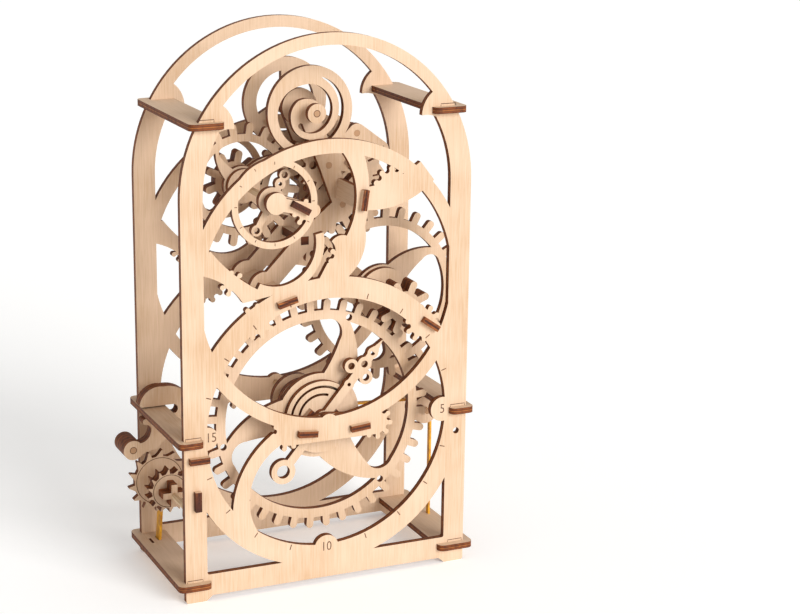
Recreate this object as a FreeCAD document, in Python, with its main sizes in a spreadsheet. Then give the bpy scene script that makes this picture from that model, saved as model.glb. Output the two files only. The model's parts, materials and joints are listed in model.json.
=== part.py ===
"""Wooden clockwork timer model: a plywood frame with a gear train, balance and winding arbor.

Millimetres.  X runs to the right, Y from front to back and Z up; the origin is on the ground
under the middle of the frame.  Every plate is cut from one thickness of plywood.
"""
import FreeCAD, Part
import math
import os

import Sketcher

V = FreeCAD.Vector

# Driving dimensions: alias, value, what it is.
DIMENSIONS = [
    ("ply", 3.0, "plywood thickness"),
    ("half_depth", 35.0, "frame centre to the outer face of either panel"),
    ("half_width", 71.0, "frame centre to the outer edge of a stile"),
    ("stile", 10.0, "width of a stile"),
    ("spring", 189.0, "height at which the arch starts"),
    ("arch_band", 5.5, "width of the arch above the top brackets"),
    ("rail_low", 2.5, "underside of the bottom rail"),
    ("rail_top", 13.0, "top of the bottom rail"),
    ("overhang", 3.5, "how far a side plate reaches past the panels"),
    ("tenon", 2.5, "how far a tenon stands out of a panel"),
    ("tenon_long", 9.5, "long side of a tenon"),
    ("rod_r", 1.5, "radius of the wooden rods"),
    ("journal_r", 1.55, "radius of a hole that a rod turns in"),
    ("gear_module", 2.7, "pitch diameter over tooth count"),
    ("tooth_half", 1.75, "half the thickness of a tooth"),
    ("addendum", 2.3, "tooth above the pitch circle"),
    ("dedendum", 3.0, "tooth below the pitch circle"),
    ("main_teeth", 40, "dial wheel"),
    ("second_pinion_teeth", 8, "pinion driven by the dial wheel"),
    ("second_teeth", 30, "second wheel"),
    ("third_pinion_teeth", 10, "pinion driven by the second wheel"),
    ("third_teeth", 24, "third wheel"),
    ("fourth_pinion_teeth", 9, "pinion driven by the third wheel"),
    ("fourth_teeth", 20, "seconds wheel"),
    ("escape_pinion_teeth", 8, "pinion driven by the seconds wheel"),
    ("main_x", 0.0, "dial arbor"),
    ("main_z", 79.0, "dial arbor and middle of the lower ring"),
    ("second_bearing", 48.7, "direction from the dial arbor to the second arbor, degrees"),
    ("fourth_x", -25.5, "seconds arbor"),
    ("fourth_z", 185.0, "seconds arbor"),
    ("escape_bearing", 15.0, "direction from the seconds arbor to the escape arbor, degrees"),
    ("balance_x", 0.0, "balance staff"),
    ("balance_z", 221.5, "balance staff"),
    ("anchor_x", 25.1, "anchor arbor"),
    ("anchor_z", 208.9, "anchor arbor"),
    ("winding_x", -66.0, "winding arbor"),
    ("winding_z", 41.9, "winding arbor"),
    ("lever_x", -63.5, "pivot of the release lever"),
    ("lever_z", 67.0, "pivot of the release lever"),
    ("pulley_x", 66.0, "band pulley"),
    ("pulley_z", 66.8, "band pulley"),
    ("ring_lower_in", 60.0, "lower dial ring, inner radius"),
    ("ring_lower_out", 70.0, "lower dial ring, outer radius"),
    ("ring_upper_z", 144.0, "middle of the upper ring"),
    ("ring_upper_in", 62.0, "upper ring, inner radius"),
    ("ring_upper_out", 68.5, "upper ring, outer radius"),
    ("cage_front", -8.0, "front face of the cage's front plate"),
    ("cage_rear", 15.5, "front face of the cage's rear plate"),
    ("hand_y", -28.5, "front face of both hands"),
    ("main_y", -22.5, "front face of the dial wheel"),
    ("escape_y", -3.2, "front face of the escape wheel and the anchor"),
    ("second_y", 1.5, "front face of the second wheel"),
    ("fourth_y", 9.5, "front face of the seconds wheel"),
    ("third_y", 22.0, "front face of the third wheel"),
    ("balance_front_y", -12.0, "front face of the front balance ring"),
    ("balance_rear_y", 18.7, "front face of the rear balance ring"),
    ("balance_r", 20.8, "outer radius of the balance rings"),
    ("click_y", 2.0, "front face of the click wheel"),
    ("ratchet_y", 17.0, "front face of the ratchet wheel and the release lever"),
    ("band_left_y", 23.0, "middle of the left rubber band"),
    ("band_right_y", 3.0, "middle of the right rubber band"),
]

doc = FreeCAD.newDocument("timer_model")
sheet = doc.addObject("Spreadsheet::Sheet", "Sheet")
for row, (alias, value, note) in enumerate(DIMENSIONS, start=1):
    sheet.set(f"A{row}", note)
    sheet.set(f"B{row}", str(value))
    sheet.setAlias(f"B{row}", alias)
doc.recompute()
dim = {alias: float(sheet.get(alias)) for alias, _, _ in DIMENSIONS}

FRONT = -dim["half_depth"]
BACK = dim["half_depth"] - dim["ply"]
MODULE = dim["gear_module"]


def mesh_distance(one, other):
    """Centre distance of two meshing gears, from their tooth-count aliases."""
    return MODULE * (dim[one] + dim[other]) / 2


def polar(centre, radius, degrees):
    angle = math.radians(degrees)
    return (centre[0] + radius * math.cos(angle), centre[1] + radius * math.sin(angle))


def circle_meeting(a, radius_a, b, radius_b):
    """The meeting point of two circles that lies right of the way from a to b."""
    along = (b[0] - a[0], b[1] - a[1])
    gap = math.hypot(*along)
    unit = (along[0] / gap, along[1] / gap)
    reach = (radius_a ** 2 - radius_b ** 2 + gap ** 2) / (2 * gap)
    rise = math.sqrt(radius_a ** 2 - reach ** 2)
    return (a[0] + reach * unit[0] + rise * unit[1], a[1] + reach * unit[1] - rise * unit[0])


# Axes, as (x, z).
MAIN = (dim["main_x"], dim["main_z"])
SECOND = polar(MAIN, mesh_distance("main_teeth", "second_pinion_teeth"), dim["second_bearing"])
FOURTH = (dim["fourth_x"], dim["fourth_z"])
THIRD = circle_meeting(SECOND, mesh_distance("second_teeth", "third_pinion_teeth"),
                       FOURTH, mesh_distance("third_teeth", "fourth_pinion_teeth"))
ESCAPE = polar(FOURTH, mesh_distance("fourth_teeth", "escape_pinion_teeth"), dim["escape_bearing"])
BALANCE = (dim["balance_x"], dim["balance_z"])
ANCHOR = (dim["anchor_x"], dim["anchor_z"])
WINDING = (dim["winding_x"], dim["winding_z"])
LEVER = (dim["lever_x"], dim["lever_z"])
PULLEY = (dim["pulley_x"], dim["pulley_z"])

# Tenons that show in the front panel: x, z, turn in degrees.
RING_BEAM = (-21.0, 139.5, 15.0)
CAGE_BEAM = (16.5, 183.5, 82.0)
RAIL_PEG = (-64.0, 69.5, 0.0)
PLATE_PEGS = [(-11.0, 75.5, -5.0), (15.5, 75.5, 5.0), (-14.5, 182.5, -30.0),
              (51.0, 121.5, -35.0), (-65.0, 50.0, 90.0)]
CAGE_PILLARS = [(37.0, 200.0), (-1.0, 160.0)]
PILLAR_SIDE = 4.0

subparts = []


# ---------------------------------------------------------------- building helpers
def new_body(name, x=0.0, y=0.0, z=0.0, turn=0.0):
    """A body whose front face lies at y; turn is degrees anticlockwise seen from the front."""
    body = doc.addObject("PartDesign::Body", name)
    body.Label = name
    body.Placement = FreeCAD.Placement(V(x, 0, z), FreeCAD.Rotation(V(0, -1, 0), turn))
    if isinstance(y, str):
        body.setExpression(".Placement.Base.y", y)
    else:
        body.Placement.Base.y = y
    subparts.append(body)
    return body


def origin_plane(body, role):
    return next(item for item in body.Origin.OriginFeatures if item.Role == role)


def new_sketch(body, role="XZ_Plane"):
    sketch = body.newObject("Sketcher::SketchObject", body.Name + "_sketch")
    sketch.AttachmentSupport = [(origin_plane(body, role), "")]
    sketch.MapMode = "FlatFace"
    return sketch


def flat(point):
    return V(point[0], point[1], 0)


def draw_path(sketch, path):
    """Close a path: a first point, then (end,) for a line or (middle, end) for an arc."""
    here = path[0]
    for step in path[1:] + [(path[0],)]:
        end = step[-1]
        if math.dist(here, end) > 1e-6:
            if len(step) == 2:
                sketch.addGeometry(Part.Arc(flat(here), flat(step[0]), flat(end)), False)
            else:
                sketch.addGeometry(Part.LineSegment(flat(here), flat(end)), False)
        here = end


def draw_circle(sketch, radius, centre=(0.0, 0.0)):
    """A circle; radius is a number or an expression on the sheet."""
    number = radius if isinstance(radius, (int, float)) else 1.0
    index = sketch.addGeometry(Part.Circle(flat(centre), V(0, 0, 1), number), False)
    if not isinstance(radius, (int, float)):
        constraint = sketch.addConstraint(Sketcher.Constraint("Radius", index, number))
        sketch.setExpression(f"Constraints[{constraint}]", radius)
    return index


def draw_box(sketch, x, z, width, height, turn=0.0):
    corners = [(-width / 2, -height / 2), (width / 2, -height / 2),
               (width / 2, height / 2), (-width / 2, height / 2)]
    c, s = math.cos(math.radians(turn)), math.sin(math.radians(turn))
    points = [(x + c * a - s * b, z + s * a + c * b) for a, b in corners]
    draw_path(sketch, [points[0]] + [(point,) for point in points[1:]])


def stadium(p, q, width):
    """The outline of a bar with round ends from p to q."""
    heading = math.degrees(math.atan2(q[1] - p[1], q[0] - p[0]))
    r = width / 2
    return [polar(p, r, heading + 90), (polar(p, r, heading + 180), polar(p, r, heading - 90)),
            (polar(q, r, heading - 90),), (polar(q, r, heading), polar(q, r, heading + 90))]


def arc_band(centre, inner, outer, start, stop):
    """The outline of a piece of a ring between two angles in degrees."""
    middle = (start + stop) / 2
    return [polar(centre, outer, start), (polar(centre, outer, middle), polar(centre, outer, stop)),
            (polar(centre, inner, stop),), (polar(centre, inner, middle), polar(centre, inner, start))]


def pad(body, sketch, length="Sheet.ply", reverse=True):
    """Pad a sketch away from the viewer, or along its own normal if reverse is False."""
    feature = body.newObject("PartDesign::Pad", body.Name + "_pad")
    feature.Profile = sketch
    feature.Reversed = reverse
    if isinstance(length, str):
        feature.setExpression("Length", length)
    else:
        feature.Length = length
    sketch.Visibility = False
    return feature


def pocket(body, sketch):
    """Cut a sketch through the whole body, and check that it did cut."""
    doc.recompute()
    before = body.Shape.Volume
    feature = body.newObject("PartDesign::Pocket", body.Name + "_pocket")
    feature.Profile = sketch
    feature.Type = 1
    feature.Midplane = True
    doc.recompute()
    if body.Shape.Volume > before - 1e-3:
        raise RuntimeError(f"a pocket of {body.Label} cuts nothing")
    return feature


def pad_path(body, path, length="Sheet.ply"):
    sketch = new_sketch(body)
    draw_path(sketch, path)
    return pad(body, sketch, length)


def pad_disc(body, radius, centre=(0.0, 0.0), length="Sheet.ply", hole=None):
    sketch = new_sketch(body)
    draw_circle(sketch, radius, centre)
    if hole is not None:
        draw_circle(sketch, hole, centre)
    return pad(body, sketch, length)


def cut_discs(body, centres, radius):
    sketch = new_sketch(body)
    for centre in centres:
        draw_circle(sketch, radius, centre)
    return pocket(body, sketch)


def cut_paths(body, paths):
    sketch = new_sketch(body)
    for path in paths:
        draw_path(sketch, path)
    return pocket(body, sketch)


def repeat(body, feature, count):
    """Repeat a feature round the body's own Y axis; count is a number or an expression."""
    pattern = body.newObject("PartDesign::PolarPattern", body.Name + "_pattern")
    pattern.Originals = [feature]
    pattern.Axis = (origin_plane(body, "Y_Axis"), [""])
    pattern.Angle = 360
    if isinstance(count, str):
        pattern.setExpression("Occurrences", count)
    else:
        pattern.Occurrences = count
    body.Tip = pattern
    return pattern


def rod(name, axis, start, stop, radius="Sheet.rod_r"):
    """A round rod along Y from start to stop."""
    body = new_body(name, axis[0], start, axis[1])
    pad_disc(body, radius, length=stop - start)
    return body


def disc(name, axis, y, radius, length="Sheet.ply", bore="Sheet.rod_r"):
    body = new_body(name, axis[0], y, axis[1])
    pad_disc(body, radius, length=length, hole=bore)
    return body


# ---------------------------------------------------------------- gears
def pitch_radius(teeth_alias):
    return MODULE * dim[teeth_alias] / 2


def gear(name, axis, y, teeth_alias, turn, length="Sheet.ply"):
    """A gear with finger teeth that end in half circles, bored for its rod."""
    body = new_body(name, axis[0], y, axis[1], turn)
    root = pitch_radius(teeth_alias) - dim["dedendum"]
    tip_centre = pitch_radius(teeth_alias) + dim["addendum"] - dim["tooth_half"]
    half = dim["tooth_half"]
    pad_disc(body, root, length=length)
    tooth = pad_path(body, [(root - 1, -half), ((tip_centre, -half),),
                            ((tip_centre + half, 0), (tip_centre, half)), ((root - 1, half),)], length)
    repeat(body, tooth, f"Sheet.{teeth_alias}")
    cut_discs(body, [(0.0, 0.0)], "Sheet.rod_r")
    return body


def swirl_window(body, hub, rim, arms, tail, mirror=False):
    """Cut comma-shaped windows between curved arms; tail is where one window's tip meets the rim."""
    scale = (-1 if mirror else 1) * 3 / arms

    def at(radius, degrees):
        return polar((0, 0), radius, tail + degrees * scale)

    head = 0.36 * (rim - hub)
    path = [at(rim, 0), (at(hub + 0.54 * (rim - hub), -15), at(hub, -38)),
            (at(hub, -74), at(hub, -108)),
            (at((hub + rim - head) / 2, -115), at(rim - head, -117)),
            (at(rim - 0.11 * (rim - hub), -115), at(rim, -105)),
            (at(rim, -52), at(rim, 0))]
    feature = cut_paths(body, [path])
    repeat(body, feature, arms)


def facing(centre, other):
    """Direction in degrees from one axis to another."""
    return math.degrees(math.atan2(other[1] - centre[1], other[0] - centre[0]))


def meshing_turn(centre, other, other_turn, teeth_alias, other_alias):
    """The turn of a gear at centre that puts a gap where the other gear has a tooth."""
    pitch = 360 / dim[teeth_alias]
    other_pitch = 360 / dim[other_alias]
    phase = ((other_turn - facing(other, centre)) % other_pitch) / other_pitch
    return facing(centre, other) + pitch / 2 - phase * pitch


# ---------------------------------------------------------------- frame panels
def cog_patch(centre, radius, teeth, start):
    """The outline of a small ornamental cog."""
    step = 360 / teeth
    path = [polar(centre, radius, start)]
    for tooth in range(teeth):
        at = start + tooth * step
        path.append((polar(centre, radius + 1.6, at + step * 0.25), polar(centre, radius, at + step * 0.5)))
        path.append((polar(centre, radius - 1.3, at + step * 0.75), polar(centre, radius, at + step)))
    return path


COG_PATCHES = [((-21.0, 76.0), 6.5, 9, 10), ((24.5, 76.0), 6.5, 9, 25), ((-35.0, 131.5), 7.0, 9, 0),
               ((47.5, 122.0), 7.5, 10, 15), ((-47.0, 150.5), 4.5, 7, 30), ((31.0, 188.5), 8.0, 10, 12),
               ((6.5, 157.5), 5.5, 8, 0), ((-12.0, 180.0), 4.6, 7, 20)]
TOP_BRACKET_Z = 220.8
MIDDLE_BRACKET_Z = 76.0
BOTTOM_PLATE_Z = 7.0
TOP_LAP, SIDE_LAP = 58.5, 66.5
NUMBER_LOBES = [((-1.0, 17.5), 6.0), ((-60.0, 79.0), 5.5), ((58.5, 78.5), 6.0)]


def mirrored_outline(right_half):
    """Close a left-right symmetric outline from its right half, listed from bottom to top."""
    path = [right_half[0]] + right_half[1:]
    points = [right_half[0]] + [step[-1] for step in right_half[1:]]
    for index in range(len(right_half) - 1, 0, -1):
        step = right_half[index]
        target = (-points[index - 1][0], points[index - 1][1])
        path.append(((-step[0][0], step[0][1]), target) if len(step) == 2 else (target,))
    return path


def panel(name, y, holes, slots, has_dial):
    half, stile, spring = dim["half_width"], dim["stile"], dim["spring"]
    top = spring + half
    body = new_body(name, 0, y, 0)
    foot = half - stile + 1
    outer = mirrored_outline([(0, dim["rail_low"]), ((foot - 4, dim["rail_low"]),), ((foot - 1, 0),),
                              ((half - 0.8, 0),), ((half, 0.8),), ((half, spring),),
                              (polar((0, spring), half, 45), (0, top))])
    # Inside edge: stile, lower arch, a rounded hook at the top bracket, then the narrow arch.
    wide, narrow = half - stile - 0.5, half - dim["arch_band"]
    hook = [polar((0, spring), narrow - 10.5, 34.5), polar((0, spring), narrow - 7.5, 37.5),
            polar((0, spring), narrow, 39.5)]
    inner = mirrored_outline([(0, dim["rail_top"]), ((wide - 1, dim["rail_top"]),),
                              ((wide - 0.3, dim["rail_top"] + 0.3), (wide, dim["rail_top"] + 1)),
                              ((wide, spring),), (polar((0, spring), wide, 15), polar((0, spring), wide, 30)),
                              (polar((0, spring), wide - 2.5, 32.5), hook[0]), (hook[1], hook[2]),
                              (polar((0, spring), narrow, 65), (0, spring + narrow))])
    sketch = new_sketch(body)
    draw_path(sketch, outer)
    draw_path(sketch, inner)
    pad(body, sketch)
    pad_disc(body, "Sheet.ring_lower_out", MAIN, hole="Sheet.ring_lower_in")
    pad_disc(body, "Sheet.ring_upper_out", (0, dim["ring_upper_z"]), hole="Sheet.ring_upper_in")
    pad_disc(body, 20.5, (-26.5, 185.0), hole=17.5)
    pad_path(body, arc_band((-25.0, 165.5), 18.5, 22.5, -118, 12))
    pad_path(body, [(5.5, 207.0), ((13.2, 187.0), (8.5, 167.5)), ((4.5, 167.8), (1.0, 165.5)),
                    ((3.0, 161.0), (-1.0, 155.5)), ((-5.0, 148.5),), ((6.0, 146.0),),
                    ((16.5, 158.0), (17.5, 171.0)), ((19.5, 186.0), (16.0, 207.0))])
    pad_path(body, [(15.0, 189.0), ((30.0, 191.5), (45.0, 199.0)), ((52.0, 190.0),),
                    ((35.0, 180.0), (15.0, 179.0))])
    pad_path(body, [(-64.0, 156.0), ((-51.0, 150.5), (-42.0, 141.0)), ((-28.0, 143.0),),
                    ((-43.0, 152.0), (-57.0, 166.0)), ((-64.0, 166.0),)])
    pad_disc(body, 5.0, FOURTH)
    pad_path(body, stadium(FOURTH, (-7.5, 180.5), 6.0))
    pad_disc(body, 4.5, MAIN)
    pad_path(body, stadium((-19.0, 75.5), (24.0, 75.5), 10.0))
    for centre, radius, teeth, start in COG_PATCHES:
        pad_path(body, cog_patch(centre, radius, teeth, start))
    if has_dial:
        for centre, radius in NUMBER_LOBES:
            pad_disc(body, radius, centre)
        pad_path(body, [(-27.6, 77.5), ((-42.3, 61.5), (-47.6, 37.0)), ((-44.0, 26.0),), ((-33.0, 27.0),),
                        ((-37.6, 56.0), (-19.0, 73.5))])
    else:
        pad_disc(body, 5.0, THIRD)
        pad_path(body, stadium(THIRD, (14.0, 170.0), 5.0))
    cut_discs(body, holes, "Sheet.journal_r")
    sketch = new_sketch(body)
    for x, z, turn in slots:
        draw_box(sketch, x, z, dim["tenon_long"], dim["ply"], turn)
    for side in (-1, 1):
        for lap, z in ((TOP_LAP, TOP_BRACKET_Z), (SIDE_LAP, MIDDLE_BRACKET_Z), (SIDE_LAP, BOTTOM_PLATE_Z)):
            draw_box(sketch, side * (lap + 10), z + dim["ply"] / 2, 20, dim["ply"])
    pocket(body, sketch)
    return body


def side_plate(name, z, inner, outer, lap, side, slots=()):
    """A horizontal plate that half laps both panels; side is -1 on the left and 1 on the right."""
    body = doc.addObject("PartDesign::Body", name)
    body.Label = name
    body.Placement.Base = V(0, 0, z)
    subparts.append(body)
    reach = dim["half_depth"] + dim["overhang"]
    corner = 3.0
    near, far = sorted((side * inner, side * outer))
    path = [(near + corner, -reach), ((far - corner, -reach),)]
    for cx, cy, heading in ((far, -reach, -45), (far, reach, 45), (near, reach, 135), (near, -reach, 225)):
        mx = cx - corner * math.copysign(1, math.cos(math.radians(heading)))
        my = cy - corner * math.copysign(1, math.sin(math.radians(heading)))
        start, middle, stop = (polar((mx, my), corner, heading + shift) for shift in (-45, 0, 45))
        path += [(start,), (middle, stop)]
    sketch = new_sketch(body, "XY_Plane")
    draw_path(sketch, path)
    pad(body, sketch, reverse=False)
    sketch = new_sketch(body, "XY_Plane")
    for panel_y in (FRONT + dim["ply"] / 2, BACK + dim["ply"] / 2):
        draw_box(sketch, side * (lap - 10), panel_y, 20, dim["ply"])
    for x, y, width, depth in slots:
        draw_box(sketch, x, y, width, depth)
    pocket(body, sketch)
    return body


BAND_FOOT_X = -65.4
front_slots = [RING_BEAM, CAGE_BEAM, RAIL_PEG] + PLATE_PEGS
front_panel = panel("front_panel", FRONT, [PULLEY], front_slots, True)
back_panel = panel("back_panel", BACK, [MAIN, SECOND, THIRD, FOURTH, WINDING, LEVER, PULLEY],
                   [RING_BEAM], False)

side_plate("bottom_left_plate", BOTTOM_PLATE_Z, 59.0, 75.0, SIDE_LAP, -1,
           [(BAND_FOOT_X, dim["band_left_y"], 1.8, 5.2), (-69.5, 21.0, 1.2, 6.0)])
side_plate("bottom_right_plate", BOTTOM_PLATE_Z, 57.0, 75.0, SIDE_LAP, 1,
           [(PULLEY[0] + 4.65, dim["band_right_y"], 1.0, 2.4)])
side_plate("middle_left_bracket", MIDDLE_BRACKET_Z, 62.0, 74.0, SIDE_LAP, -1)
side_plate("middle_right_bracket", MIDDLE_BRACKET_Z, 62.0, 74.0, SIDE_LAP, 1)
side_plate("top_left_bracket", TOP_BRACKET_Z, 50.5, 67.0, TOP_LAP, -1)
side_plate("top_right_bracket", TOP_BRACKET_Z, 50.5, 67.0, TOP_LAP, 1)


# ---------------------------------------------------------------- beams, pegs and cage
def beam(name, place, start, stop):
    """A strip along Y that fills a tenon slot."""
    x, z, turn = place
    body = new_body(name, x, start, z, turn)
    sketch = new_sketch(body)
    draw_box(sketch, 0, 0, dim["tenon_long"], dim["ply"])
    pad(body, sketch, stop - start)
    return body


def group(name, solids):
    """Several equal loose solids in one node."""
    compound = doc.addObject("Part::Compound", name)
    compound.Label = name
    compound.Links = solids
    subparts.append(compound)
    return compound


def loose_box(name, place, width, height, start, stop):
    """A box along Y centred on place, turned about its own length."""
    x, z, turn = place
    box = doc.addObject("Part::Box", name)
    box.Length, box.Width, box.Height = width, stop - start, height
    spin = FreeCAD.Rotation(V(0, -1, 0), turn)
    corner = spin.multVec(V(-width / 2, 0, -height / 2))
    box.Placement = FreeCAD.Placement(V(x, start, z) + corner, spin)
    return box


INSIDE = FRONT + dim["ply"]
OUTSIDE = FRONT - dim["tenon"]
DOUBLER_BACK = FRONT + 2 * dim["ply"]
CAGE_FRONT_BACK = dim["cage_front"] + dim["ply"]
CAGE_END = dim["cage_rear"] + dim["ply"]

beam("ring_beam", RING_BEAM, OUTSIDE, -OUTSIDE)
beam("cage_beam", CAGE_BEAM, OUTSIDE, CAGE_FRONT_BACK)
beam("rail_peg", RAIL_PEG, OUTSIDE, INSIDE)
group("plate_pegs", [loose_box(f"plate_peg_{n}", place, dim["tenon_long"], dim["ply"], OUTSIDE, DOUBLER_BACK)
                     for n, place in enumerate(PLATE_PEGS)])
group("cage_pillars", [loose_box(f"cage_pillar_{n}", (x, z, 0), PILLAR_SIDE, PILLAR_SIDE,
                                 dim["cage_front"], CAGE_END) for n, (x, z) in enumerate(CAGE_PILLARS)])


def doubler(name, bars, width, journals, pegs):
    """A small plate glued behind the front panel, bored for a rod and slotted for its pegs."""
    body = new_body(name, 0, FRONT + dim["ply"], 0)
    for start, stop in bars:
        pad_path(body, stadium(start, stop, width))
    cut_discs(body, journals, "Sheet.journal_r")
    sketch = new_sketch(body)
    for x, z, turn in pegs:
        draw_box(sketch, x, z, dim["tenon_long"], dim["ply"], turn)
    pocket(body, sketch)
    return body


doubler("main_bearing_plate", [((-18.0, 76.2), MAIN), (MAIN, (22.5, 76.2))], 7.5, [MAIN], PLATE_PEGS[0:2])
doubler("seconds_bearing_plate", [(FOURTH, (-10.5, 180.0))], 8.0, [FOURTH], PLATE_PEGS[2:3])
doubler("second_bearing_plate", [(SECOND, (53.5, 119.5))], 9.0, [SECOND], PLATE_PEGS[3:4])
doubler("winding_bearing_plate", [(WINDING, (-65.5, 55.0))], 8.5, [WINDING], PLATE_PEGS[4:5])

CAGE_BARS = [(BALANCE, ESCAPE), (ESCAPE, ANCHOR), (ANCHOR, CAGE_PILLARS[0]), (ESCAPE, THIRD),
             (THIRD, CAGE_PILLARS[1]), (CAGE_PILLARS[1], RING_BEAM[:2])]


def cage_plate(name, y, slots):
    body = new_body(name, 0, y, 0)
    for start, stop in CAGE_BARS:
        pad_path(body, stadium(start, stop, 9.0))
    pad_disc(body, 7.5, RING_BEAM[:2])
    cut_discs(body, [BALANCE, ESCAPE, ANCHOR, THIRD], "Sheet.journal_r")
    sketch = new_sketch(body)
    for x, z in CAGE_PILLARS:
        draw_box(sketch, x, z, PILLAR_SIDE, PILLAR_SIDE)
    for x, z, turn in slots:
        draw_box(sketch, x, z, dim["tenon_long"], dim["ply"], turn)
    pocket(body, sketch)
    return body


cage_plate("cage_front_plate", "Sheet.cage_front", [RING_BEAM, CAGE_BEAM])
cage_plate("cage_rear_plate", "Sheet.cage_rear", [RING_BEAM])


# ---------------------------------------------------------------- dial arbor
main_turn = 4.5
rod("main_arbor", MAIN, INSIDE, -FRONT)
main_wheel = gear("main_wheel", MAIN, "Sheet.main_y", "main_teeth", main_turn)
swirl_window(main_wheel, 20.5, 46.5, 3, 310 - main_turn)
cut_discs(main_wheel, [polar((0, 0), 48.5, angle) for angle in (-53, 67, 187)], 1.6)
disc("main_hub", MAIN, -19.5, 15.0)
spiral = disc("spiral_clutch", MAIN, -25.5, 17.5)
cut_paths(spiral, [arc_band((0, 0), 14.2, 15.4, 40, 215), arc_band((0, 0), 10.4, 11.6, 70, 240)])
PEG_TURNS = [(-6.3, 2.5, 45.0), (7.2, 1.0, -50.0)]
sketch = new_sketch(spiral)
for x, z, turn in PEG_TURNS:
    draw_box(sketch, x, z, 4.5, dim["ply"], turn)
pocket(spiral, sketch)
group("clutch_pegs", [loose_box(f"clutch_peg_{n}", (MAIN[0] + x, MAIN[1] + z, turn), 4.5, dim["ply"], -28.3, -22.5)
                      for n, (x, z, turn) in enumerate(PEG_TURNS)])
drum = disc("band_drum", MAIN, -3.0, 12.0)
pad_disc(drum, 3.5, length=12.0, hole="Sheet.rod_r")
sketch = new_sketch(drum)
draw_circle(sketch, 12.0)
draw_circle(sketch, "Sheet.rod_r")
sketch.AttachmentOffset = FreeCAD.Placement(V(0, 0, -9.0), FreeCAD.Rotation())
pad(drum, sketch)


def hand(name, axis, y, turn, front_reach, tail_reach, ornaments, hub, bar):
    """A pierced hand: a hub, a bar each way and round ornaments along it."""
    body = new_body(name, axis[0], y, axis[1], turn)
    pad_disc(body, hub)
    pad_path(body, stadium((0, 0), (front_reach, 0), bar))
    pad_path(body, stadium((0, 0), (-tail_reach, 0), bar))
    for x, z, radius, _ in ornaments:
        pad_disc(body, radius, (x, z))
    cut_discs(body, [(0.0, 0.0)], "Sheet.rod_r")
    sketch = new_sketch(body)
    for x, z, _, hole in ornaments:
        draw_circle(sketch, hole, (x, z))
    pocket(body, sketch)
    return body


minute_ornaments = [(27.5, -4.9, 3.4, 1.7), (27.5, 4.9, 3.4, 1.7), (32.0, 0.0, 3.6, 1.7), (38.5, 0.0, 2.8, 1.2),
                    (20.0, 0.0, 2.6, 0.9), (-31.0, 0.0, 6.0, 3.2)]
minute = hand("minute_hand", MAIN, "Sheet.hand_y", 49.5, 40.0, 26.0, minute_ornaments, 4.0, 4.2)
pad_path(minute, [(39.0, -2.1), ((46.5, 0.0),), ((39.0, 2.1),)])

# ---------------------------------------------------------------- second arbor
second_pinion_turn = meshing_turn(SECOND, MAIN, main_turn, "second_pinion_teeth", "main_teeth")
rod("second_arbor", SECOND, INSIDE, -FRONT)
gear("second_pinion", SECOND, -25.5, "second_pinion_teeth", second_pinion_turn, 9.0)
second_turn = 3.0
second_wheel = gear("second_wheel", SECOND, "Sheet.second_y", "second_teeth", second_turn)
swirl_window(second_wheel, 14.5, 33.5, 3, 38 - second_turn, mirror=True)
disc("second_hub", SECOND, -1.5, 13.5)

# ---------------------------------------------------------------- third arbor
third_pinion_turn = meshing_turn(THIRD, SECOND, second_turn, "third_pinion_teeth", "second_teeth")
rod("third_arbor", THIRD, dim["cage_front"], -FRONT)
gear("third_pinion", THIRD, 0.0, "third_pinion_teeth", third_pinion_turn, 6.0)
third_turn = 7.0
third_wheel = gear("third_wheel", THIRD, "Sheet.third_y", "third_teeth", third_turn)
swirl_window(third_wheel, 10.0, 26.0, 3, 20.0)

# ---------------------------------------------------------------- seconds arbor
fourth_pinion_turn = meshing_turn(FOURTH, THIRD, third_turn, "fourth_pinion_teeth", "third_teeth")
rod("fourth_arbor", FOURTH, INSIDE, -FRONT)
gear("fourth_pinion", FOURTH, 20.5, "fourth_pinion_teeth", fourth_pinion_turn, 6.0)
fourth_turn = 9.0
fourth_wheel = gear("fourth_wheel", FOURTH, "Sheet.fourth_y", "fourth_teeth", fourth_turn)
swirl_window(fourth_wheel, 9.0, 20.5, 4, 30.0, mirror=True)
disc("fourth_hub", FOURTH, 6.5, 8.0)
seconds_ornaments = [(8.6, 0.0, 2.6, 0.9), (13.1, 0.0, 2.6, 1.5), (-14.9, 0.0, 2.6, 1.5)]
hand("seconds_hand", FOURTH, "Sheet.hand_y", 61.0, 12.0, 13.0, seconds_ornaments, 6.3, 3.0)

# ---------------------------------------------------------------- escape wheel, anchor and balance
escape_turn = meshing_turn(ESCAPE, FOURTH, fourth_turn, "escape_pinion_teeth", "fourth_teeth")
rod("escape_arbor", ESCAPE, dim["cage_front"], CAGE_END)
gear("escape_pinion", ESCAPE, 8.0, "escape_pinion_teeth", escape_turn, 6.0)
ESCAPE_TEETH = 12
ESCAPE_TIP, ESCAPE_ROOT = 14.0, 9.5


def saw_wheel(name, axis, y, teeth, root, tip, turn, length="Sheet.ply"):
    """A wheel of pointed teeth that lean one way."""
    body = new_body(name, axis[0], y, axis[1], turn)
    pad_disc(body, root, length=length)
    step = 360 / teeth
    tooth = pad_path(body, [polar((0, 0), root - 0.6, 0), (polar((0, 0), tip, step * 0.10),),
                            (polar((0, 0), tip, step * 0.20),),
                            (polar((0, 0), (root + tip) / 2 - 0.9, step * 0.52),
                             polar((0, 0), root - 0.6, step * 0.85))], length)
    repeat(body, tooth, teeth)
    cut_discs(body, [(0.0, 0.0)], "Sheet.rod_r")
    return body


escape_wheel = saw_wheel("escape_wheel", ESCAPE, "Sheet.escape_y", ESCAPE_TEETH, ESCAPE_ROOT, ESCAPE_TIP, 4.0)
cut_discs(escape_wheel, [polar((0, 0), 6.0, angle) for angle in (0, 90, 180, 270)], 1.9)

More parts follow.
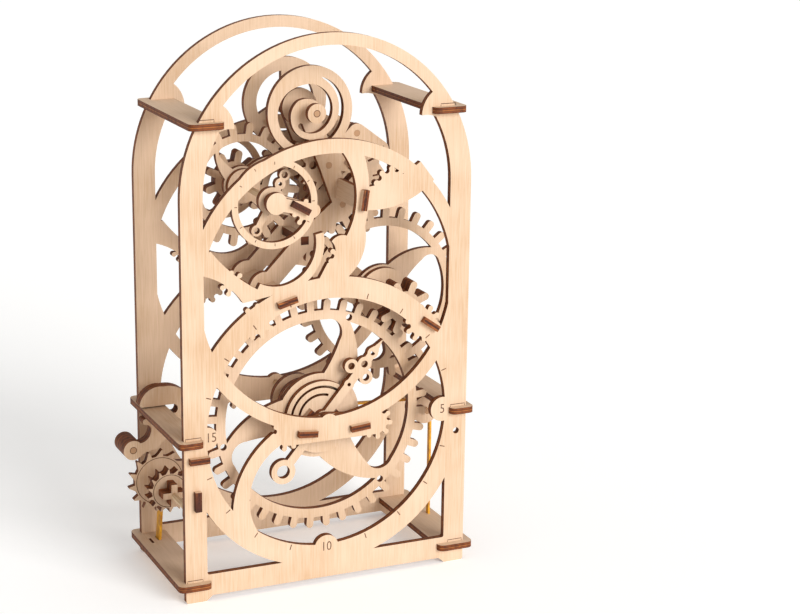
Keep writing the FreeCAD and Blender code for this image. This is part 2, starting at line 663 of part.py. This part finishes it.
rod("anchor_arbor", ANCHOR, dim["cage_front"], CAGE_END)
anchor = new_body("anchor_lever", ANCHOR[0], "Sheet.escape_y", ANCHOR[1])
to_escape, to_balance = facing(ANCHOR, ESCAPE), facing(ANCHOR, BALANCE)
anchor_gap = math.dist(ANCHOR, ESCAPE)
touch = math.degrees(math.acos(ESCAPE_TIP / anchor_gap))
PALLET_CLEAR = 2.0
escape_from_anchor = (ESCAPE[0] - ANCHOR[0], ESCAPE[1] - ANCHOR[1])
fork_reach = math.dist(ANCHOR, BALANCE) - 4.2
pad_disc(anchor, 4.0)
for side in (-1, 1):
    pallet_base = polar(escape_from_anchor, ESCAPE_TIP + PALLET_CLEAR + 3.2, to_escape + 180 + side * touch)
    pallet_tip = polar(escape_from_anchor, ESCAPE_TIP + PALLET_CLEAR, to_escape + 180 + side * touch)
    pad_path(anchor, stadium((0, 0), pallet_base, 3.4))
    corners = [polar(pallet_base, 1.7, to_escape + side * (180 - touch)),
               polar(pallet_tip, 1.2, to_escape + side * 90),
               polar(pallet_base, 1.7, to_escape - side * 90)]
    pad_path(anchor, [corners[0], (corners[1],), (corners[2],)])
pad_path(anchor, stadium((0, 0), polar((0, 0), fork_reach - 6.0, to_balance), 3.6))
fork_end = polar((0, 0), fork_reach - 4.5, to_balance)
for side in (-1, 1):
    root_point = polar(fork_end, 3.0, to_balance + side * 90)
    pad_path(anchor, stadium(root_point, polar(root_point, 3.0, to_balance), 2.2))
pad_path(anchor, stadium(polar(fork_end, 3.0, to_balance + 90), polar(fork_end, 3.0, to_balance - 90), 2.2))
cut_discs(anchor, [(0.0, 0.0)], "Sheet.rod_r")

staff_front = -20.0
rod("balance_staff", BALANCE, staff_front, dim["balance_rear_y"] + dim["ply"])
disc("balance_cap", BALANCE, staff_front, 4.5)
front_ring = new_body("balance_front_ring", BALANCE[0], "Sheet.balance_front_y", BALANCE[1])
pad_disc(front_ring, "Sheet.balance_r", hole="Sheet.rod_r")
# One spiral window, as (degrees, radius): along the ring, in round the arm, and back along the hub.
SPIRAL = [(70, 16.3), (35, 16.7), (0, 16.6), (-45, 16.8), (-90, 17.2), (-125, 17.0), (-160, 16.2), (-190, 15.6),
          (-220, 14.2), (-245, 12.9), (-275, 12.4), (-300, 11.8), (-330, 11.3), (-365, 11.0), (-405, 10.8),
          (-450, 10.4), (-485, 9.4), (-494, 8.3), (-484, 6.9), (-450, 5.5), (-405, 5.0), (-340, 5.0), (-285, 5.3),
          (-250, 6.1), (-220, 7.6), (-190, 8.8), (-160, 10.1), (-125, 12.0), (-90, 13.2), (-45, 13.9), (0, 14.2),
          (35, 14.9), (65, 15.7)]
spiral_points = [polar((0, 0), radius, angle) for angle, radius in SPIRAL]
cut_paths(front_ring, [[spiral_points[0]] + list(zip(spiral_points[1::2], spiral_points[2::2]))])
rear_ring = new_body("balance_rear_ring", BALANCE[0], "Sheet.balance_rear_y", BALANCE[1])
pad_disc(rear_ring, "Sheet.balance_r", hole=14.5)
pad_disc(rear_ring, 6.0)
for angle in (90, 210, 330):
    pad_path(rear_ring, stadium(polar((0, 0), 4.0, angle), polar((0, 0), 16.0, angle), 4.0))
cut_discs(rear_ring, [(0.0, 0.0)], "Sheet.rod_r")
roller = disc("balance_roller", BALANCE, 0.8, 8.6)
impulse = new_sketch(roller)
draw_circle(impulse, 1.1, polar((0, 0), 6.0, facing(BALANCE, ANCHOR)))
pad(roller, impulse, 4.6, reverse=False)

# ---------------------------------------------------------------- winding arbor and release lever
rod("winding_arbor", WINDING, INSIDE, -FRONT)
click_wheel = saw_wheel("click_wheel", WINDING, "Sheet.click_y", 14, 8.6, 10.8, 10.0, 6.0)
for turn in (-12.0, 78.0):
    key = new_sketch(click_wheel)
    draw_box(key, 0, 0, 11.0, dim["ply"], turn)
    pad(click_wheel, key, 7.0, reverse=False)
cut_discs(click_wheel, [(0.0, 0.0)], "Sheet.rod_r")
SPOOL_CORE = 2.3
saw_wheel("ratchet_wheel", WINDING, "Sheet.ratchet_y", 14, 12.4, 15.4, 3.0)
# The ratchet wheel is the spool's front flange.
spool = disc("band_spool", WINDING, dim["ratchet_y"] + dim["ply"], SPOOL_CORE, length=3 * dim["ply"])
sketch = new_sketch(spool)
draw_circle(sketch, 6.5)
draw_circle(sketch, "Sheet.rod_r")
sketch.AttachmentOffset = FreeCAD.Placement(V(0, 0, -2 * dim["ply"]), FreeCAD.Rotation())
pad(spool, sketch)

rod("lever_pivot", LEVER, dim["ratchet_y"], -FRONT)
LEVER_LAYERS = 2 * dim["ply"]
GRIP = (-15.3, -8.1)
lever = new_body("release_lever", LEVER[0], "Sheet.ratchet_y", LEVER[1])
# The body under the bracket, up its inner side and hooked back over it, with the arm to the grip.
pad_path(lever, [(-15.8, -3.4), ((-10.2, -4.6), (-6.5, -0.4)), ((-6.6, 2.6), (-9.1, 4.0)),
                 ((-10.4, 5.6), (-9.3, 6.8)), ((-2.5, 7.8),), ((6.0, 8.2),), ((7.3, 10.4), (5.0, 12.7)),
                 ((-10.8, 12.7),), ((-11.7, 13.8),), ((-8.1, 20.1), (0.0, 22.0)), ((9.5, 19.6), (15.0, 12.0)),
                 ((13.5, 3.0), (6.5, -2.0)), ((1.0, -4.4), (-2.8, -8.6)), ((-6.7, -9.2), (-9.8, -10.1)),
                 ((-12.5, -12.0),), ((-15.3, -10.0),)], LEVER_LAYERS)
pad_disc(lever, 4.8, GRIP, LEVER_LAYERS)
cut_discs(lever, [(0.0, 0.0)], "Sheet.journal_r")
cut_discs(lever, [GRIP], "Sheet.rod_r")
grip_at = (LEVER[0] + GRIP[0], LEVER[1] + GRIP[1])
group_discs = []
for n in range(3):
    plate = doc.addObject("Part::Cylinder", f"grip_disc_{n}")
    plate.Radius = 4.8
    plate.setExpression("Height", "Sheet.ply")
    bore = doc.addObject("Part::Cylinder", f"grip_bore_{n}")
    bore.setExpression("Radius", "Sheet.rod_r")
    bore.setExpression("Height", "Sheet.ply")
    place = FreeCAD.Placement(V(grip_at[0], dim["ratchet_y"] + (n + 2) * dim["ply"], grip_at[1]),
                              FreeCAD.Rotation(V(1, 0, 0), -90))
    plate.Placement = place
    bore.Placement = place
    ring = doc.addObject("Part::Cut", f"grip_ring_{n}")
    ring.Base, ring.Tool = plate, bore
    group_discs.append(ring)
group("grip_discs", group_discs)
rod("grip_pin", grip_at, dim["ratchet_y"], dim["ratchet_y"] + 5 * dim["ply"])

# ---------------------------------------------------------------- band pulley and rubber bands
rod("pulley_pin", PULLEY, dim["band_right_y"] - 7.0, -FRONT)
PULLEY_CORE = 4.0
pulley = disc("band_pulley", PULLEY, dim["band_right_y"] - 4.5, 7.0, bore="Sheet.journal_r")
pad_disc(pulley, PULLEY_CORE, length=9.0, hole="Sheet.journal_r")
sketch = new_sketch(pulley)
draw_circle(sketch, 7.0)
draw_circle(sketch, "Sheet.journal_r")
sketch.AttachmentOffset = FreeCAD.Placement(V(0, 0, -6.0), FreeCAD.Rotation())
pad(pulley, sketch)

BAND_GAP = 0.15


def band(name, y, width, paths):
    body = new_body(name, 0, y - width / 2, 0)
    for path in paths:
        pad_path(body, path, width)
    return body


# The right band leaves the drum's underside, passes over the pulley and drops to its plate.
drum_r, pulley_r, thick = 3.5 + BAND_GAP, PULLEY_CORE + BAND_GAP, 1.0
span = math.dist(MAIN, PULLEY)
cross = math.degrees(math.asin((drum_r + pulley_r + thick) / span))
run = facing(MAIN, PULLEY) + cross
drum_side, pulley_side = run - 90, run + 90
strip = [polar(MAIN, drum_r, drum_side), (polar(PULLEY, pulley_r + thick, pulley_side),),
         (polar(PULLEY, pulley_r, pulley_side),), (polar(MAIN, drum_r + thick, drum_side),)]
band("right_band", dim["band_right_y"], 2.4,
     [arc_band(MAIN, drum_r, drum_r + thick, drum_side - 280, drum_side), strip,
      arc_band(PULLEY, pulley_r, pulley_r + thick, 0, pulley_side),
      [(PULLEY[0] + pulley_r, PULLEY[1]), ((PULLEY[0] + pulley_r + thick, PULLEY[1]),),
       ((PULLEY[0] + pulley_r + thick, BOTTOM_PLATE_Z),), ((PULLEY[0] + pulley_r, BOTTOM_PLATE_Z),)]])
# The left band leaves the spool's right side and slants down to its slot in the bottom plate.
spool_r = SPOOL_CORE + BAND_GAP
band("left_band", dim["band_left_y"], 5.0,
     [arc_band(WINDING, spool_r, spool_r + 1.2, -90, 200),
      [(WINDING[0] + spool_r, WINDING[1]), ((WINDING[0] + spool_r + 1.2, WINDING[1]),),
       ((BAND_FOOT_X + 0.6, BOTTOM_PLATE_Z),), ((BAND_FOOT_X - 0.6, BOTTOM_PLATE_Z),)]])

# ---------------------------------------------------------------- checks and export
doc.recompute()
failed = [item.Label for item in doc.Objects if "Invalid" in item.State or "Error" in item.State]
if failed:
    raise RuntimeError(f"failed: {failed}")
names = [item.Label for item in subparts]
if len(set(names)) != len(names) or len(names) > 60:
    raise RuntimeError(f"{len(names)} sub-parts, {len(set(names))} names")
faulty = [item.Label for item in subparts if item.Shape.isNull() or not item.Shape.isValid()]
if faulty:
    raise RuntimeError(f"no valid shape: {faulty}")

os.makedirs("parts", exist_ok=True)
for item in subparts:
    item.Shape.exportStep(f"parts/{item.Label}.step")
    print(f"{item.Label:24s} solids {len(item.Shape.Solids)} volume {item.Shape.Volume:9.1f}")
print(len(subparts), "sub-parts")
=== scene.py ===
import json
import math

import bmesh
import bpy
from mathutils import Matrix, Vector


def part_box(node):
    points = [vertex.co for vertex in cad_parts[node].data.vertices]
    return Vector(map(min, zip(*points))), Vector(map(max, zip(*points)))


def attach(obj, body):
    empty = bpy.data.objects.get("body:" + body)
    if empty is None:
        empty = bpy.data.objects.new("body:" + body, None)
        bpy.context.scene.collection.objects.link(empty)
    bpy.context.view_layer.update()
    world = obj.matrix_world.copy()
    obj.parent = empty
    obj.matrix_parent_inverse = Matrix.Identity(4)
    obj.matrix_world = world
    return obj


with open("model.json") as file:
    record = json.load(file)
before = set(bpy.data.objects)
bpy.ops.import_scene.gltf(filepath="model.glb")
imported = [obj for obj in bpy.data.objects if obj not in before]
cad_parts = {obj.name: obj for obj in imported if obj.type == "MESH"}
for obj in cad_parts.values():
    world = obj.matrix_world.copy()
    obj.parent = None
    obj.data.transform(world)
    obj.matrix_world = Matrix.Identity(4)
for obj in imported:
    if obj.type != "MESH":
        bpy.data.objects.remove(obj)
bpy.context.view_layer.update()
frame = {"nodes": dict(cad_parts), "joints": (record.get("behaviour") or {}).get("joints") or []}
nodes = frame["nodes"]
mm = 0.001
axisAt = {joint["name"]: (joint["pos_m"][0] / mm, joint["pos_m"][2] / mm) for joint in frame["joints"]}
print("loaded", len(nodes), "cut parts")


def srgb(hexColour):
    parts = [int(hexColour[i:i + 2], 16) / 255 for i in (1, 3, 5)]
    return tuple(p / 12.92 if p <= 0.04045 else ((p + 0.055) / 1.055) ** 2.4 for p in parts) + (1.0,)


# adds one node; settings are attributes or input values, links maps inputs to output sockets
def addNode(tree, kind, settings=None, links=None):
    node = tree.nodes.new(kind)
    for key, value in (settings or {}).items():
        if isinstance(key, str) and hasattr(node, key) and key not in node.inputs:
            setattr(node, key, value)
        else:
            node.inputs[key].default_value = value
    for key, socket in (links or {}).items():
        tree.links.new(socket, node.inputs[key])
    return node


def newMaterial(name):
    material = bpy.data.materials.new(name)
    material.use_nodes = True
    tree = material.node_tree
    shader = next(n for n in tree.nodes if n.type == "BSDF_PRINCIPLED")
    return material, tree, shader


def ramp(tree, stops, source):
    node = addNode(tree, "ShaderNodeValToRGB", links={"Fac": source})
    marks = node.color_ramp.elements
    while len(marks) < len(stops):
        marks.new(0.5)
    for mark, (position, colour) in zip(marks, stops):
        mark.position = position
        mark.color = srgb(colour)
    return node


birch = {
    "palest": "#D9BB9F",
    "body": "#CFB193",
    "streak": "#C6A381",
    "grainWidth": 0.55,      # mm between streaks, wider than real pores so that they show
    "grainLength": 16.0,     # mm along the grain
    "cloud": 26.0,           # mm across the slow change of tone
    "scorch": "#381405",     # the glue lines and the deepest burn
    "burnt": "#7E4016",
    "plyCore": "#B06A2E",
    "roughness": 0.62,
    "soot": 2.2,             # mm across a sooty patch on an edge
    "relief": 0.04,          # mm
}


# Birch plywood, laser cut: pale faces with fine long grain, edges scorched dark with the plies showing.
# thin is the axis across the sheet and sheets how many are glued together.
def birchPlywood(name, thin, sheets, grainAxis):
    material, tree, shader = newMaterial(name)
    where = addNode(tree, "ShaderNodeTexCoord")
    normal = addNode(tree, "ShaderNodeSeparateXYZ", links={0: where.outputs["Normal"]})
    facing = addNode(tree, "ShaderNodeMath", {"operation": "ABSOLUTE"}, {0: normal.outputs[thin]})
    isFace = addNode(tree, "ShaderNodeMapRange",
                     {"From Min": 0.55, "From Max": 0.8, "interpolation_type": "SMOOTHSTEP"},
                     {"Value": facing.outputs[0]})
    across, along = 1 / (birch["grainWidth"] * mm), 1 / (birch["grainLength"] * mm)
    scale = [across, across, across]
    scale["XYZ".index(grainAxis)] = along
    stretched = addNode(tree, "ShaderNodeMapping", {"Scale": scale}, {"Vector": where.outputs["Object"]})
    grain = addNode(tree, "ShaderNodeTexNoise",
                    {"Scale": 1.0, "Detail": 5.0, "Roughness": 0.6, "Distortion": 0.3},
                    {"Vector": stretched.outputs[0]})
    cloud = addNode(tree, "ShaderNodeTexNoise", {"Scale": 1 / (birch["cloud"] * mm), "Detail": 2.0},
                    {"Vector": where.outputs["Object"]})
    tone = addNode(tree, "ShaderNodeMath", {"operation": "MULTIPLY_ADD", 1: 0.45}, {0: cloud.outputs["Fac"]})
    weighed = addNode(tree, "ShaderNodeMath", {"operation": "MULTIPLY", 1: 0.55}, {0: grain.outputs["Fac"]})
    tree.links.new(weighed.outputs[0], tone.inputs[2])
    face = ramp(tree, [(0.36, birch["streak"]), (0.48, birch["body"]), (0.62, birch["palest"])],
                tone.outputs[0])

    # plies: a dark skin line each side of every sheet and a lighter core, burnt unevenly
    layer = addNode(tree, "ShaderNodeSeparateXYZ", links={0: where.outputs["Generated"]})
    counted = addNode(tree, "ShaderNodeMath", {"operation": "MULTIPLY", 1: float(sheets)},
                      {0: layer.outputs[thin]})
    inSheet = addNode(tree, "ShaderNodeMath", {"operation": "FRACT"}, {0: counted.outputs[0]})
    plies = ramp(tree, [(0.0, birch["scorch"]), (0.12, birch["burnt"]), (0.30, birch["burnt"]),
                        (0.36, birch["scorch"]), (0.44, birch["plyCore"]), (0.58, birch["burnt"]),
                        (0.66, birch["scorch"]), (0.72, birch["burnt"]), (0.90, birch["burnt"]),
                        (1.0, birch["scorch"])], inSheet.outputs[0])
    soot = addNode(tree, "ShaderNodeTexNoise", {"Scale": 1 / (birch["soot"] * mm), "Detail": 3.0},
                   {"Vector": where.outputs["Object"]})
    sooty = addNode(tree, "ShaderNodeMapRange", {"From Min": 0.4, "From Max": 0.7, "To Max": 0.65},
                    {"Value": soot.outputs["Fac"]})
    edge = addNode(tree, "ShaderNodeMix", {"data_type": "RGBA"}, {"Factor": sooty.outputs[0]})
    tree.links.new(plies.outputs["Color"], edge.inputs[6])
    edge.inputs[7].default_value = srgb(birch["scorch"])
    both = addNode(tree, "ShaderNodeMix", {"data_type": "RGBA"}, {"Factor": isFace.outputs[0]})
    tree.links.new(edge.outputs[2], both.inputs[6])
    tree.links.new(face.outputs["Color"], both.inputs[7])
    tree.links.new(both.outputs[2], shader.inputs["Base Color"])
    relief = addNode(tree, "ShaderNodeBump", {"Strength": 0.5, "Distance": birch["relief"] * mm},
                     {"Height": grain.outputs["Fac"]})
    tree.links.new(relief.outputs[0], shader.inputs["Normal"])
    shader.inputs["Roughness"].default_value = birch["roughness"]
    shader.inputs["Specular IOR Level"].default_value = 0.3
    return material


# Birch dowel: round rod, a shade darker than the plywood, grain along its length, cut ends brown.
dowel = {"light": "#D9BC97", "dark": "#BC966C", "end": "#AE8560", "ring": 0.7, "roughness": 0.6}


def birchDowel(name):
    material, tree, shader = newMaterial(name)
    where = addNode(tree, "ShaderNodeTexCoord")
    normal = addNode(tree, "ShaderNodeSeparateXYZ", links={0: where.outputs["Normal"]})
    endways = addNode(tree, "ShaderNodeMath", {"operation": "ABSOLUTE"}, {0: normal.outputs["Y"]})
    isEnd = addNode(tree, "ShaderNodeMath", {"operation": "GREATER_THAN", 1: 0.8}, {0: endways.outputs[0]})
    fine = 1 / (dowel["ring"] * mm)
    stretched = addNode(tree, "ShaderNodeMapping", {"Scale": (fine, fine / 20, fine)},
                        {"Vector": where.outputs["Object"]})
    grain = addNode(tree, "ShaderNodeTexNoise", {"Scale": 1.0, "Detail": 4.0},
                    {"Vector": stretched.outputs[0]})
    side = ramp(tree, [(0.38, dowel["dark"]), (0.6, dowel["light"])], grain.outputs["Fac"])
    both = addNode(tree, "ShaderNodeMix", {"data_type": "RGBA"}, {"Factor": isEnd.outputs[0]})
    tree.links.new(side.outputs["Color"], both.inputs[6])
    both.inputs[7].default_value = srgb(dowel["end"])
    tree.links.new(both.outputs[2], shader.inputs["Base Color"])
    shader.inputs["Roughness"].default_value = dowel["roughness"]
    return material


# Natural amber latex, extruded and cut: even colour, soft sheen, light glows through it a little.
latex = {"amber": "#E0A21B", "shade": "#B97A0C", "mottle": 3.0, "roughness": 0.42}


def amberLatex(name):
    material, tree, shader = newMaterial(name)
    where = addNode(tree, "ShaderNodeTexCoord")
    mottle = addNode(tree, "ShaderNodeTexNoise", {"Scale": 1 / (latex["mottle"] * mm), "Detail": 3.0},
                     {"Vector": where.outputs["Object"]})
    tint = ramp(tree, [(0.35, latex["shade"]), (0.6, latex["amber"])], mottle.outputs["Fac"])
    tree.links.new(tint.outputs["Color"], shader.inputs["Base Color"])
    relief = addNode(tree, "ShaderNodeBump", {"Strength": 0.3, "Distance": 0.03 * mm},
                     {"Height": mottle.outputs["Fac"]})
    tree.links.new(relief.outputs[0], shader.inputs["Normal"])
    shader.inputs["Roughness"].default_value = latex["roughness"]
    shader.inputs["Subsurface Weight"].default_value = 0.15
    shader.inputs["Subsurface Scale"].default_value = 1.5 * mm
    return material


# Laser engraving: a shallow dark brown line with sooty breaks.
def laserLine(name, deep="#3A1B0C", light="#7B4C2B"):
    material, tree, shader = newMaterial(name)
    where = addNode(tree, "ShaderNodeTexCoord")
    soot = addNode(tree, "ShaderNodeTexNoise", {"Scale": 1 / (0.9 * mm), "Detail": 3.0},
                   {"Vector": where.outputs["Object"]})
    tint = ramp(tree, [(0.4, deep), (0.68, light)], soot.outputs["Fac"])
    tree.links.new(tint.outputs["Color"], shader.inputs["Base Color"])
    shader.inputs["Roughness"].default_value = 0.85
    return material


uprightSheet = birchPlywood("birch plywood, upright sheet", "Y", 1, "Z")
flatSheet = birchPlywood("birch plywood, flat sheet", "Z", 1, "Y")
doubleSheet = birchPlywood("birch plywood, two glued sheets", "Y", 2, "Z")
tripleSheet = birchPlywood("birch plywood, three glued sheets", "Y", 3, "Z")
quadSheet = birchPlywood("birch plywood, four glued sheets", "Y", 4, "Z")
stripSheet = birchPlywood("birch plywood, strip on edge", "Z", 1, "Y")
standingStrip = birchPlywood("birch plywood, standing strip", "X", 1, "Y")
rodWood = birchDowel("birch dowel")
bandLatex = amberLatex("amber latex band")
engraving = laserLine("laser engraving")
tenonCore = laserLine("scorched middle ply", "#341304", "#552409")
print("mixed materials")

finishOf = {
    flatSheet: ["bottom_left_plate", "bottom_right_plate", "middle_left_bracket", "middle_right_bracket",
                "top_left_bracket", "top_right_bracket"],
    standingStrip: ["cage_beam"],
    stripSheet: ["ring_beam", "rail_peg", "plate_pegs", "clutch_pegs", "cage_pillars"],
    doubleSheet: ["third_pinion", "fourth_pinion", "escape_pinion", "release_lever"],
    tripleSheet: ["second_pinion", "band_pulley", "grip_discs", "click_wheel"],
    quadSheet: ["band_drum", "band_spool"],
    rodWood: ["main_arbor", "second_arbor", "third_arbor", "fourth_arbor", "escape_arbor", "anchor_arbor",
              "balance_staff", "winding_arbor", "lever_pivot", "grip_pin", "pulley_pin"],
    bandLatex: ["right_band", "left_band"],
}
materialOf = {name: material for material, names in finishOf.items() for name in names}
for name, part in nodes.items():
    material = materialOf.get(name, uprightSheet)
    if not part.material_slots:
        part.data.materials.append(material)
    for slot in part.material_slots:
        slot.material = material
print("finished the cut parts")


# ---- thin inlaid lines, each a closed strip standing a hair proud of a face that looks to the front
inlay = {"proud": 0.03, "sunk": 0.25, "hair": 0.32, "line": 0.45}


def addStrip(mesh, points, width, faceY, closed=False):
    front, back = faceY - inlay["proud"], faceY + inlay["sunk"]
    rings, count = [], len(points)
    for i, (x, z) in enumerate(points):
        before = points[i - 1] if i or closed else points[i]
        after = points[(i + 1) % count] if i + 1 < count or closed else points[i]
        dx, dz = after[0] - before[0], after[1] - before[1]
        length = math.hypot(dx, dz)
        sx, sz = -dz / length * width / 2, dx / length * width / 2
        rings.append([mesh.verts.new(Vector((px * mm, y * mm, pz * mm)))
                      for px, y, pz in ((x + sx, front, z + sz), (x - sx, front, z - sz),
                                        (x - sx, back, z - sz), (x + sx, back, z + sz))])
    pairs = list(zip(rings, rings[1:])) + ([(rings[-1], rings[0])] if closed else [])
    for a, b in pairs:
        for k in range(4):
            mesh.faces.new((a[k], a[(k + 1) % 4], b[(k + 1) % 4], b[k]))
    if not closed:
        mesh.faces.new(rings[0][::-1])
        mesh.faces.new(rings[-1])


def circlePoints(centre, radius, start=0.0, stop=360.0, steps=48):
    closed = abs(stop - start) >= 360
    count = steps if closed else steps + 1
    angles = [math.radians(start + (stop - start) * i / steps) for i in range(count)]
    return [(centre[0] + radius * math.cos(a), centre[1] + radius * math.sin(a)) for a in angles]


def finishPiece(name, mesh, material, body):
    bmesh.ops.recalc_face_normals(mesh, faces=mesh.faces)
    data = bpy.data.meshes.new(name)
    mesh.to_mesh(data)
    mesh.free()
    piece = bpy.data.objects.new(name, data)
    bpy.context.scene.collection.objects.link(piece)
    data.materials.append(material)
    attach(piece, body)
    return piece


dial = {
    "centre": axisAt["dial_turn"],
    "tickInner": 60.6, "tickLength": 2.6, "tickStep": 18,
    "secondsCentre": (-26.5, 185.0), "secondsInner": 17.9, "secondsLength": 1.3, "secondsStep": 30,
    "faceY": -35.0,
}


def makeDialMarks():
    mesh = bmesh.new()
    for angle in range(0, 360, dial["tickStep"]):
        a = math.radians(90 - angle)
        if angle % 90:
            ends = [dial["tickInner"], dial["tickInner"] + dial["tickLength"]]
            cx, cz = dial["centre"]
            addStrip(mesh, [(cx + r * math.cos(a), cz + r * math.sin(a)) for r in ends],
                     inlay["line"], dial["faceY"])
    for angle in range(0, 360, dial["secondsStep"]):
        a = math.radians(angle)
        ends = [dial["secondsInner"], dial["secondsInner"] + dial["secondsLength"]]
        cx, cz = dial["secondsCentre"]
        addStrip(mesh, [(cx + r * math.cos(a), cz + r * math.sin(a)) for r in ends],
                 inlay["hair"], dial["faceY"])
    finishPiece("dial_marks", mesh, engraving, "frame")


makeDialMarks()

numerals = {
    "size": 6.4, "narrow": 0.86, "thickness": 0.1,
    "places": [("5", 58.5, 78.5), ("10", -1.0, 17.7), ("15", -57.9, 79.3)],
}


def makeNumerals():
    for text, x, z in numerals["places"]:
        curve = bpy.data.curves.new("numeral", "FONT")
        curve.body = text
        curve.align_x = curve.align_y = "CENTER"
        curve.size = numerals["size"] * mm
        curve.extrude = numerals["thickness"] * mm / 2
        curve.offset = -0.05 * mm
        shaper = bpy.data.objects.new("numeral", curve)
        data = bpy.data.meshes.new_from_object(shaper)
        mesh = bmesh.new()
        mesh.from_mesh(data)
        for vert in mesh.verts:
            px, pz, depth = vert.co.x * numerals["narrow"], vert.co.y, vert.co.z
            vert.co = (x * mm + px, dial["faceY"] * mm - depth, z * mm + pz)
        bmesh.ops.remove_doubles(mesh, verts=mesh.verts, dist=1e-7)
        finishPiece("numeral_" + text, mesh, engraving, "frame")
        bpy.data.objects.remove(shaper)


makeNumerals()

# the outline of the slot that shows above each bracket and bottom plate, on the front face
kerf = {
    "width": 7.5, "rise": 1.1,
    "over": {"top_left_bracket": 58.5, "middle_left_bracket": 66.5, "bottom_left_plate": 66.5},
}


def makeKerfs():
    mesh = bmesh.new()
    for plate, lap in kerf["over"].items():
        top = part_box(plate)[1][2] / mm
        for side in (-1, 1):
            near, far = side * (lap - kerf["width"] / 2), side * (lap + kerf["width"] / 2)
            addStrip(mesh, [(near, top), (near, top + kerf["rise"]), (far, top + kerf["rise"]), (far, top)],
                     inlay["hair"], dial["faceY"])
    finishPiece("bracket_kerfs", mesh, engraving, "frame")


makeKerfs()

rings = [
    ("balance_cap_ring", "balance", axisAt["balance_swing"], 1.5, -20.0),
    ("click_wheel_circle", "winder", axisAt["winding_turn"], 8.0, 2.0),  # the wheel's face, behind its key
    ("ratchet_circle", "winder", axisAt["winding_turn"], 11.6, None),
    ("seconds_boss_ring", "seconds_train", axisAt["seconds_turn"], 1.6, -28.5),
    ("grip_pin_ring", "lever", (axisAt["lever_lift"][0] - 15.3, axisAt["lever_lift"][1] - 8.1), 1.6, None),
]
faceOf = {"ratchet_circle": "ratchet_wheel", "grip_pin_ring": "grip_pin"}


def makeRings():
    for name, body, centre, radius, faceY in rings:
        mesh = bmesh.new()
        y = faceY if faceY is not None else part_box(faceOf[name])[0][1] / mm
        addStrip(mesh, circlePoints(centre, radius), inlay["hair"], y, closed=True)
        finishPiece(name, mesh, engraving, body)


makeRings()
print("engraved")

# ---- tenon ends: the dark middle ply of each strip, showing on the front of the frame
tenons = {
    "long": 9.2, "core": 0.95, "faceY": -37.5,
    "frame": [(-21.0, 139.5, 15.0), (16.5, 183.5, 82.0), (-64.0, 69.5, 0.0), (-11.0, 75.5, -5.0),
              (15.5, 75.5, 5.0), (-14.5, 182.5, -30.0), (51.0, 121.5, -35.0), (-65.0, 50.0, 90.0)],
    "clutch": [(-6.3, 2.5, 45.0), (7.2, 1.0, -50.0)], "clutchLong": 4.3, "clutchY": -28.3,
}


def makeTenonCores():
    mesh = bmesh.new()
    for x, z, turn in tenons["frame"]:
        reach = tenons["long"] / 2
        c, s = math.cos(math.radians(turn)), math.sin(math.radians(turn))
        addStrip(mesh, [(x - reach * c, z - reach * s), (x + reach * c, z + reach * s)], tenons["core"],
                 tenons["faceY"])
    finishPiece("tenon_cores", mesh, tenonCore, "frame")
    mesh = bmesh.new()
    for dx, dz, turn in tenons["clutch"]:
        x, z = dial["centre"][0] + dx, dial["centre"][1] + dz
        reach = tenons["clutchLong"] / 2
        c, s = math.cos(math.radians(turn)), math.sin(math.radians(turn))
        addStrip(mesh, [(x - reach * c, z - reach * s), (x + reach * c, z + reach * s)], tenons["core"],
                 tenons["clutchY"])
    finishPiece("clutch_cores", mesh, tenonCore, "dial_train")


makeTenonCores()
print("added tenon ends")

# ---- floor, light and camera
studio = {
    "floor": "#F6F5F3", "floorSize": 30.0,
    "sky": "#FFFFFF", "skyPower": 0.55,
    "sunPower": 2.9, "sunSoftness": 35, "sunFrom": (0.35, -1.0, 0.42), "floorGlow": 0.22,
}


def makeStudio():
    bpy.ops.mesh.primitive_plane_add(size=studio["floorSize"])
    floor = bpy.context.object
    floor.name = "floor"
    material, tree, shader = newMaterial("matt white sweep")
    shader.inputs["Base Color"].default_value = srgb(studio["floor"])
    shader.inputs["Roughness"].default_value = 0.9
    shader.inputs["Emission Color"].default_value = srgb(studio["sky"])
    shader.inputs["Emission Strength"].default_value = studio["floorGlow"]
    floor.data.materials.append(material)
    world = bpy.data.worlds.new("studio")
    world.use_nodes = True
    back = world.node_tree.nodes["Background"]
    back.inputs["Color"].default_value = srgb(studio["sky"])
    back.inputs["Strength"].default_value = studio["skyPower"]
    bpy.context.scene.world = world
    sun = bpy.data.lights.new("soft key", "SUN")
    sun.energy = studio["sunPower"]
    sun.angle = math.radians(studio["sunSoftness"])
    lamp = bpy.data.objects.new("soft key", sun)
    lamp.rotation_euler = Vector(studio["sunFrom"]).to_track_quat("Z", "Y").to_euler()
    bpy.context.scene.collection.objects.link(lamp)
    bpy.context.scene.view_settings.view_transform = "Standard"


makeStudio()

camera = {
    "azimuth": -22.23, "elevation": 15.22, "distance": 0.9153, "aim": (0.0, 0.0, 0.130),
    "lens": 87.08, "sensor": 36.0, "shift": (0.1246, -0.0105),
}


def makeCamera():
    az, el = math.radians(camera["azimuth"]), math.radians(camera["elevation"])
    back = Vector((math.sin(az) * math.cos(el), -math.cos(az) * math.cos(el), math.sin(el)))
    data = bpy.data.cameras.new("view")
    data.lens = camera["lens"]
    data.sensor_width = camera["sensor"]
    data.shift_x, data.shift_y = camera["shift"]
    eye = bpy.data.objects.new("view", data)
    eye.location = Vector(camera["aim"]) + back * camera["distance"]
    eye.rotation_euler = back.to_track_quat("Z", "Y").to_euler()
    bpy.context.scene.collection.objects.link(eye)
    bpy.context.scene.camera = eye


makeCamera()
print("set floor, light and camera")
